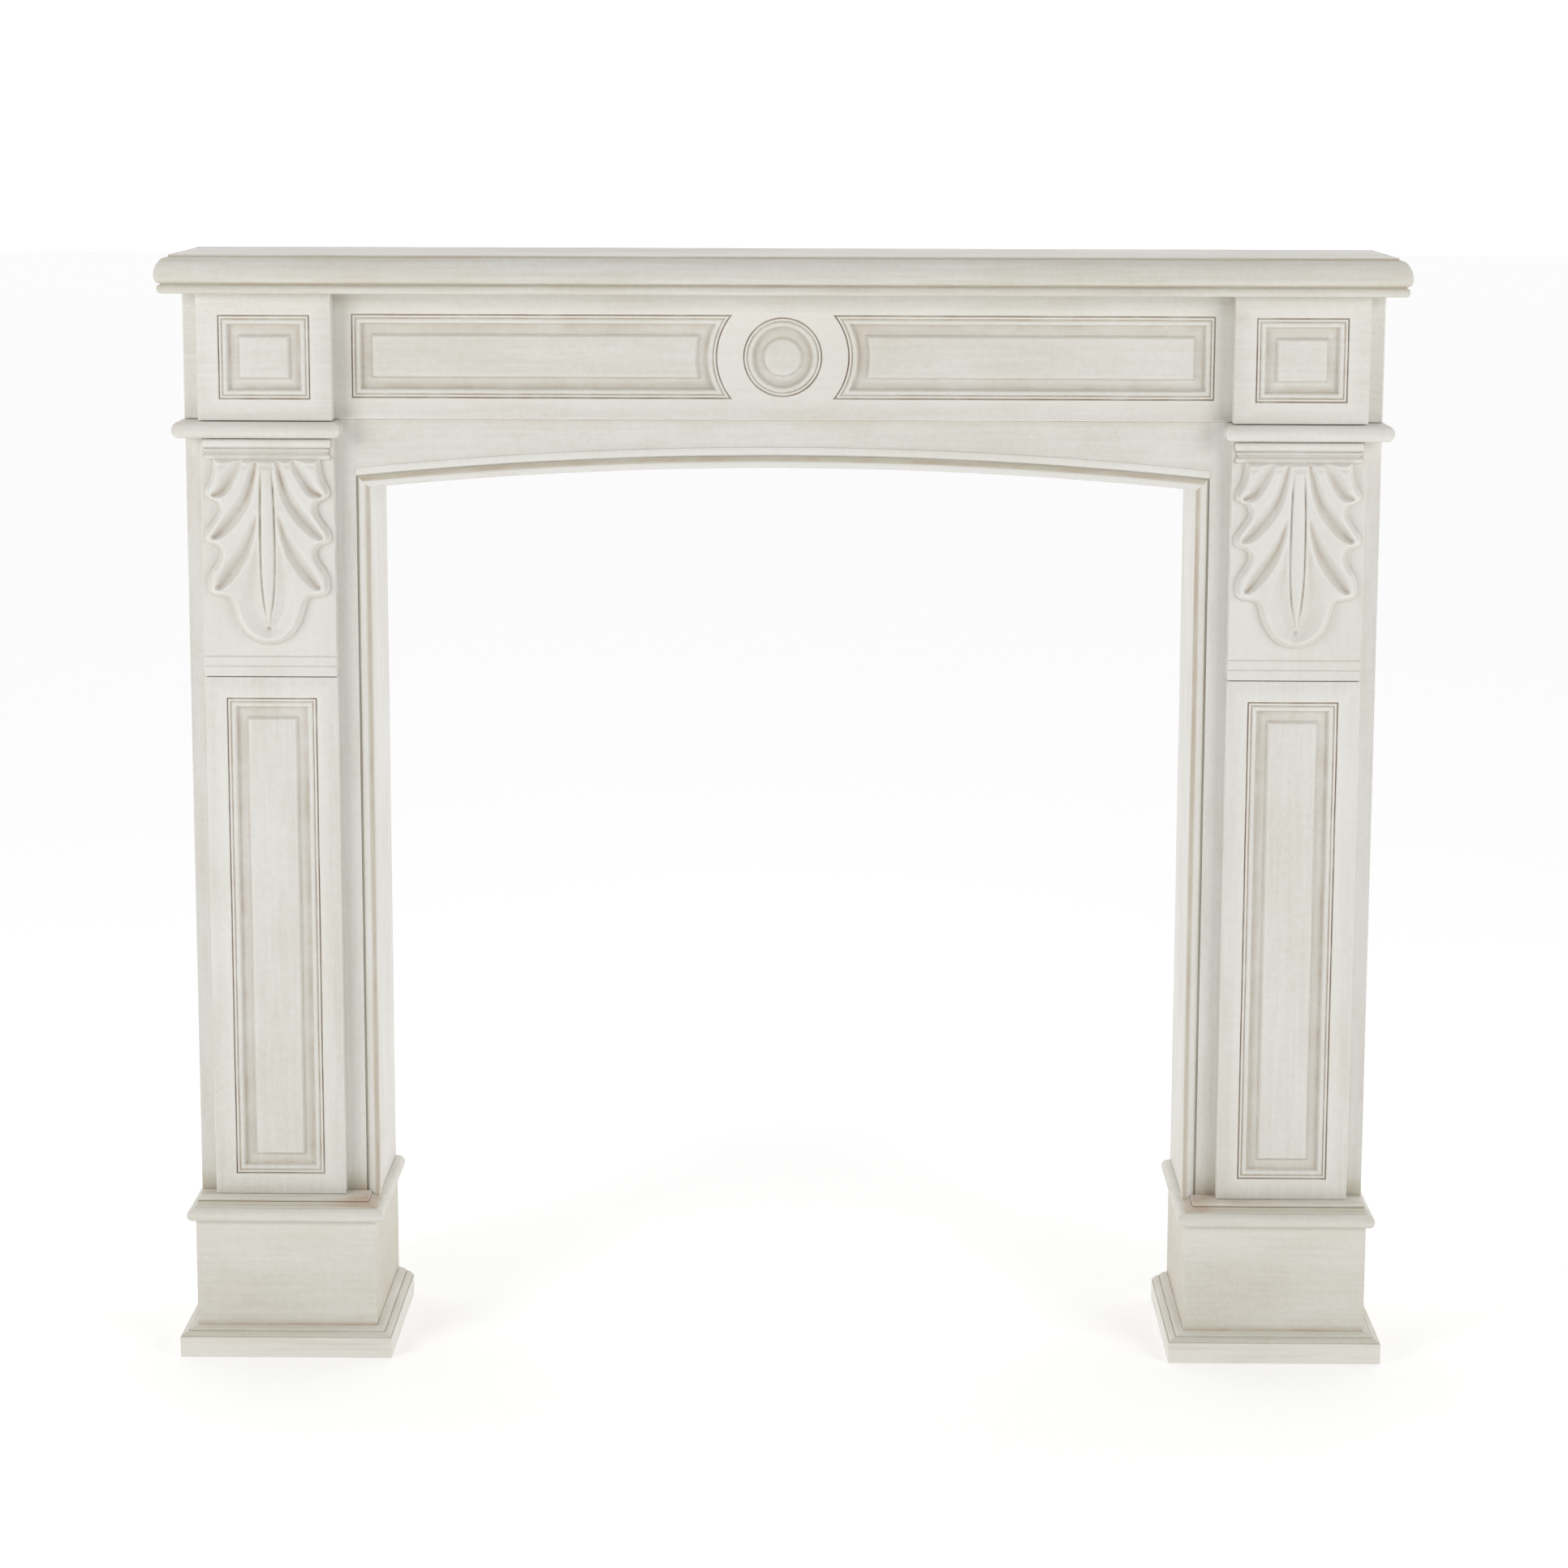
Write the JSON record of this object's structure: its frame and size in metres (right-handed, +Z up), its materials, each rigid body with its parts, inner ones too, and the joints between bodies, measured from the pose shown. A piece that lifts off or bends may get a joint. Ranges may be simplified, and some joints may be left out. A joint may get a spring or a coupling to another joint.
{
  "type": "fireplace mantelpiece",
  "caption": "Painted wooden fireplace mantelpiece: moulded shelf, panelled frieze with a round medallion, leaf-carved pilasters on plinths and a slightly arched opening.",
  "frame": {"origin": "on the floor, in the middle of the width and of the depth", "axes": "+X to the right seen from the front, +Y back to the wall, +Z up; the front faces -Y"},
  "size_m": [1.37, 0.25, 1.2425],
  "materials": {
    "paint_boards": "antique white satin paint, lightly brushed, with a thin brown-grey glaze",
    "paint_mouldings": "antique white satin paint with brown-grey glaze left in the quirks",
    "paint_carving": "antique white satin paint with glaze left in the hollows"
  },
  "bodies": {
    "root": {"frieze_board": "paint_boards", "arch_board": "paint_boards", "shelf": "paint_mouldings", "arch_bead": "paint_mouldings", "header_end_right": "paint_boards", "corner_block_right": "paint_boards", "leg_front_board_right": "paint_boards", "leg_side_board_right": "paint_boards", "jamb_board_right": "paint_boards", "pilaster_panel_right": "paint_boards", "plinth_front_right": "paint_boards", "plinth_outer_right": "paint_boards", "plinth_inner_right": "paint_boards", "inner_bead_right": "paint_mouldings", "astragal_front_right": "paint_mouldings", "astragal_outer_right": "paint_mouldings", "astragal_inner_right": "paint_mouldings", "cap_front_right": "paint_mouldings", "cap_outer_right": "paint_mouldings", "cap_inner_right": "paint_mouldings", "shoe_front_right": "paint_mouldings", "shoe_outer_right": "paint_mouldings", "shoe_inner_right": "paint_mouldings", "leaf_block_right": "paint_carving", "header_end_left": "paint_boards", "corner_block_left": "paint_boards", "leg_front_board_left": "paint_boards", "leg_side_board_left": "paint_boards", "jamb_board_left": "paint_boards", "pilaster_panel_left": "paint_boards", "plinth_front_left": "paint_boards", "plinth_outer_left": "paint_boards", "plinth_inner_left": "paint_boards", "inner_bead_left": "paint_mouldings", "astragal_front_left": "paint_mouldings", "astragal_outer_left": "paint_mouldings", "astragal_inner_left": "paint_mouldings", "cap_front_left": "paint_mouldings", "cap_outer_left": "paint_mouldings", "cap_inner_left": "paint_mouldings", "shoe_front_left": "paint_mouldings", "shoe_outer_left": "paint_mouldings", "shoe_inner_left": "paint_mouldings", "leaf_block_left": "paint_carving"}
  },
  "joints": []
}
